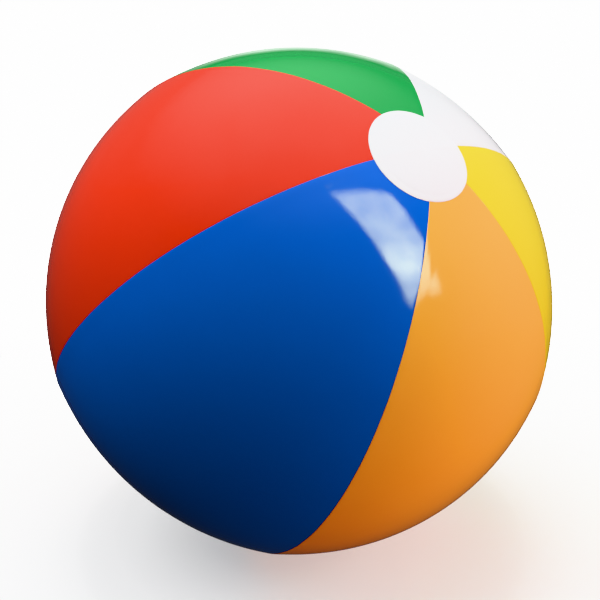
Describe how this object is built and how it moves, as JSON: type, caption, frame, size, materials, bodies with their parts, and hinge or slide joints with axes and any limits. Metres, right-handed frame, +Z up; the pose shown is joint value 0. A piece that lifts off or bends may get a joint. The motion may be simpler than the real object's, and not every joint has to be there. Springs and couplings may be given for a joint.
{
  "type": "inflatable beach ball",
  "caption": "Round inflatable ball of coloured vinyl panels welded from pole to pole, with round white pole discs and a push-in air valve with a stopper.",
  "frame": {"origin": "the centre of the small flat patch that the ball rests on, which its weight presses onto the floor", "axes": "+Z up, +X to the right and -Y to the front: the pole with the top disc leans towards the front right"},
  "size_m": [0.3238, 0.3208, 0.3203],
  "materials": {
    "white_vinyl": "gloss",
    "green_vinyl": "gloss",
    "red_vinyl": "gloss",
    "blue_vinyl": "gloss",
    "orange_vinyl": "gloss",
    "yellow_vinyl": "gloss",
    "disc_vinyl": "gloss",
    "clear_vinyl": "satin"
  },
  "bodies": {
    "ball": {"panel_white": "white_vinyl", "panel_green": "green_vinyl", "panel_red": "red_vinyl", "panel_blue": "blue_vinyl", "panel_orange": "orange_vinyl", "panel_yellow": "yellow_vinyl", "pole_disc_top": "disc_vinyl", "pole_disc_bottom": "disc_vinyl", "valve_flange": "clear_vinyl", "valve_skirt": "clear_vinyl"},
    "stem": {"valve_stem": "clear_vinyl", "plug_strap": "clear_vinyl", "check_seat": "clear_vinyl"},
    "plug": {"valve_plug": "clear_vinyl"},
    "flap": {"check_flap": "clear_vinyl"}
  },
  "joints": [
    {"name": "stem_slide", "type": "slide", "parent": "ball", "child": "stem", "axis": [0.6237, 0.3232, 0.7117], "range_m": [0, 0.018], "deforming": ["valve_skirt"]},
    {"name": "plug_hinge", "type": "hinge", "parent": "stem", "child": "plug", "pos_m": [0.09918, 0.0719, 0.2714], "axis": [-0.7726, 0.1166, 0.6241], "range_deg": [0, 160]},
    {"name": "flap_hinge", "type": "hinge", "parent": "stem", "child": "flap", "pos_m": [0.08714, 0.06146, 0.25845], "axis": [0.7726, -0.1166, -0.6241], "range_deg": [0, 65], "stiffness_Nm_per_rad": 0.00002, "springref_deg": -17.19}
  ]
}
